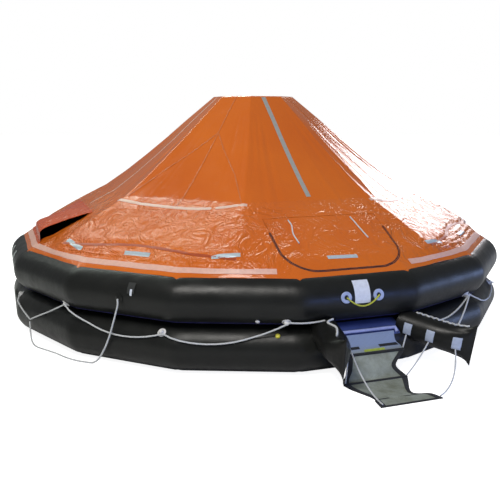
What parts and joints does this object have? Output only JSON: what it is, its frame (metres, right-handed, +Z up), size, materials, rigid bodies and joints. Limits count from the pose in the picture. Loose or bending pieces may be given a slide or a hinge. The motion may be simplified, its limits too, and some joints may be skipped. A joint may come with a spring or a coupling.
{
  "type": "inflatable canopied life raft",
  "caption": "Large inflatable life raft with stacked buoyancy tubes, an orange tent canopy with zipped entrances, boarding ramps and lifelines.",
  "frame": {"origin": "on the ground under the raft's axis", "axes": "+Z up, -Y towards the front entrance and its boarding ramp, +X to the right of someone who stands outside and faces that entrance, so that the left side entrance is at -X"},
  "size_m": [5.7458, 7.24, 2.483],
  "materials": {
    "black_rubber": "satin coated cloth",
    "floor_cloth": "matt coated cloth",
    "orange_cloth": "glossy coated cloth",
    "pale_blue_bar": "satin",
    "grey_mesh": "mesh cloth",
    "yellow_webbing": "woven webbing",
    "black_webbing": "woven webbing",
    "white_rope": "braided rope",
    "yellow_line": "braided line",
    "pale_plastic": "matt",
    "painted_steel": "satin paint"
  },
  "bodies": {
    "raft": {"lower_tube": "black_rubber", "upper_tube": "black_rubber", "floor": "floor_cloth", "ballast_pocket_1": "floor_cloth", "ballast_pocket_2": "floor_cloth", "ballast_pocket_3": "floor_cloth", "ballast_pocket_4": "floor_cloth", "canopy": "orange_cloth", "centre_column": "black_rubber", "port_flap_left": "orange_cloth", "port_flap_right": "orange_cloth", "ramp_arm_front_left": "black_rubber", "ramp_arm_front_right": "black_rubber", "ramp_arm_rear_left": "black_rubber", "ramp_arm_rear_right": "black_rubber", "boarding_bar_front": "pale_blue_bar", "boarding_bar_rear": "pale_blue_bar", "boarding_ladder_front": "grey_mesh", "boarding_ladder_rear": "grey_mesh", "side_ladder_left": "yellow_webbing", "side_ladder_right": "yellow_webbing", "lifeline_front_left": "white_rope", "lifeline_front_right": "white_rope", "lifeline_rear_left": "white_rope", "lifeline_rear_right": "white_rope", "bridle_disc_front_left": "pale_plastic", "bridle_disc_front_right": "pale_plastic", "bridle_disc_rear_left": "pale_plastic", "bridle_disc_rear_right": "pale_plastic", "bridle_line_front": "yellow_line", "bridle_line_rear": "yellow_line", "instruction_card": "pale_plastic", "side_rope_patch": "pale_plastic", "side_rope": "white_rope", "inflation_valve": "yellow_line", "relief_valve": "pale_plastic", "gas_cylinder": "painted_steel", "cylinder_strap_1": "black_webbing", "cylinder_strap_2": "black_webbing"},
    "door_front": {"door_flap_front": "orange_cloth"},
    "door_rear": {"door_flap_rear": "orange_cloth"}
  },
  "joints": [
    {"name": "door_front_hinge", "type": "hinge", "parent": "raft", "child": "door_front", "pos_m": [0, -1.9394, 1.29272], "axis": [-1, 0, 0], "range_deg": [0, 150]},
    {"name": "door_rear_hinge", "type": "hinge", "parent": "raft", "child": "door_rear", "pos_m": [0, 1.9394, 1.29272], "axis": [1, 0, 0], "range_deg": [0, 150]}
  ]
}
